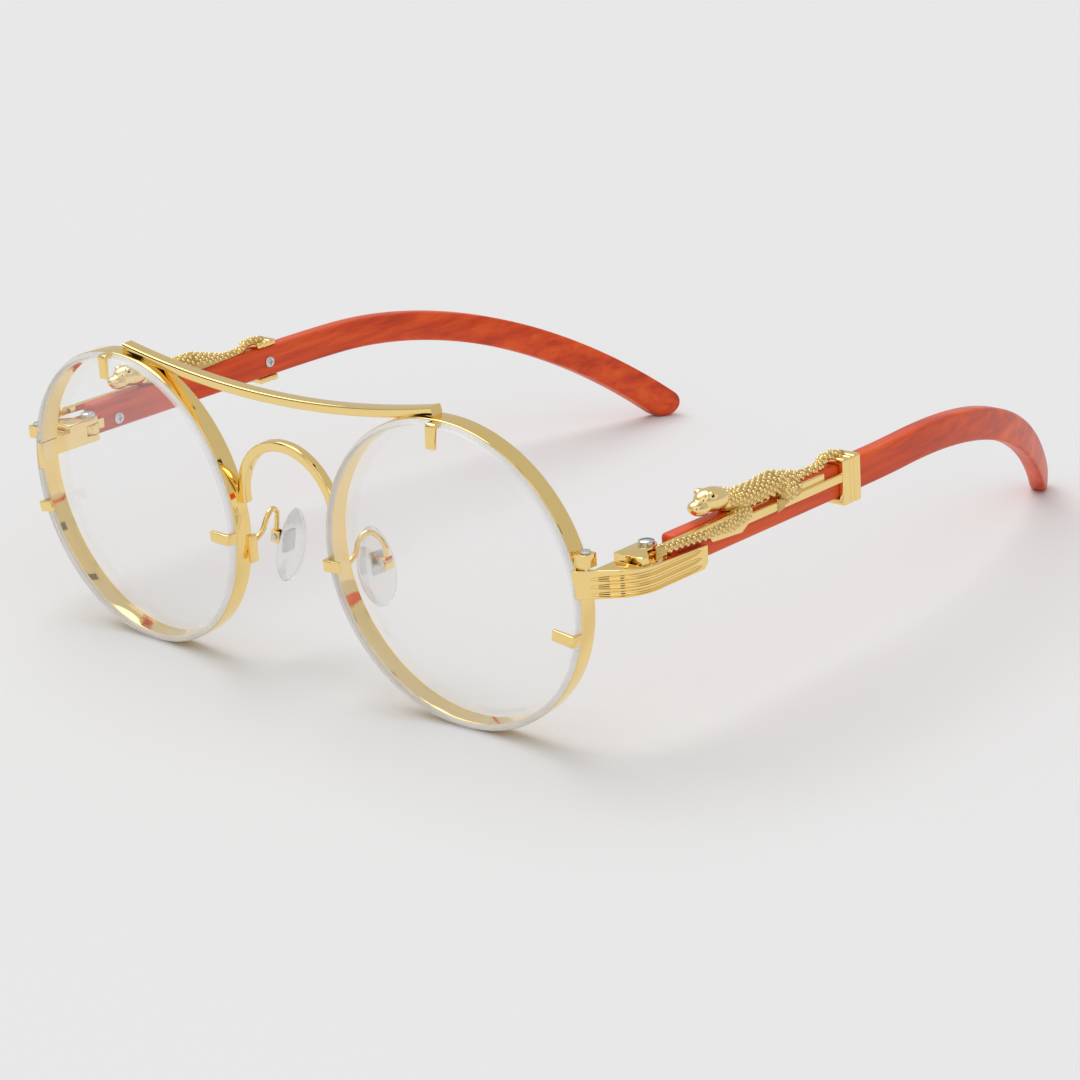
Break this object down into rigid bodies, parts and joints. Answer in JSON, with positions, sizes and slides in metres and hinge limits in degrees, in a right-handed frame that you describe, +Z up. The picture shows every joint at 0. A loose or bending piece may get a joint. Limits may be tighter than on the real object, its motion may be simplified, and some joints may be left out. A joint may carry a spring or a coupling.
{
  "type": "round wire eyeglasses",
  "caption": "Eyeglasses with round gold wire rims, clear lenses, nose pads, a brow bar and folding wooden temples that carry a beaded salamander.",
  "frame": {"origin": "on the surface that the glasses stand on, midway between the two rims, at the front edge of the rims", "axes": "+Z up, +X to the wearer's left, +Y from the lenses back along the open temples; the lenses face -Y"},
  "size_m": [0.1358, 0.1481, 0.0515],
  "materials": {
    "gold": "polished gold plating",
    "beaded_gold": "beaded gold plating with dark recesses",
    "lens": "clear, polished faces and a frosted edge",
    "wood": "varnished red hardwood",
    "pad": "clear silicone",
    "screw": "bright steel"
  },
  "bodies": {
    "front": {"brow_bar": "gold", "nose_bridge": "gold", "left_rim": "gold", "left_lens_claws": "gold", "left_lens": "lens", "left_end_piece": "gold", "left_rim_lock": "gold", "left_lock_screw": "screw", "left_hinge_front_leaf": "gold", "left_hinge_screw": "screw", "left_pad_arm": "gold", "left_pad_box": "gold", "left_pad_screw": "screw", "right_rim": "gold", "right_lens_claws": "gold", "right_lens": "lens", "right_end_piece": "gold", "right_rim_lock": "gold", "right_lock_screw": "screw", "right_hinge_front_leaf": "gold", "right_hinge_screw": "screw", "right_pad_arm": "gold", "right_pad_box": "gold", "right_pad_screw": "screw"},
    "left_temple": {"left_hinge_temple_leaf": "gold", "left_temple_arm": "wood", "left_side_rail": "gold", "left_temple_clamp": "gold", "left_temple_screws": "screw", "left_salamander": "beaded_gold"},
    "left_pad": {"left_nose_pad": "pad", "left_pad_core": "screw"},
    "right_temple": {"right_hinge_temple_leaf": "gold", "right_temple_arm": "wood", "right_side_rail": "gold", "right_temple_clamp": "gold", "right_temple_screws": "screw", "right_salamander": "beaded_gold"},
    "right_pad": {"right_nose_pad": "pad", "right_pad_core": "screw"}
  },
  "joints": [
    {"name": "left_temple_fold", "type": "hinge", "parent": "front", "child": "left_temple", "pos_m": [0.0623, 0.014, 0.0289], "axis": [0, 0, 1], "range_deg": [0, 85]},
    {"name": "right_temple_fold", "type": "hinge", "parent": "front", "child": "right_temple", "pos_m": [-0.0623, 0.014, 0.0289], "axis": [0, 0, -1], "range_deg": [0, 78]},
    {"name": "left_pad_rock", "type": "hinge", "parent": "front", "child": "left_pad", "pos_m": [0.01233, 0.00932, 0.02], "axis": [0.1392, 0.9903, 0], "range_deg": [-8, 8]},
    {"name": "right_pad_rock", "type": "hinge", "parent": "front", "child": "right_pad", "pos_m": [-0.01233, 0.00932, 0.02], "axis": [0.1392, -0.9903, 0], "range_deg": [-8, 8]}
  ]
}
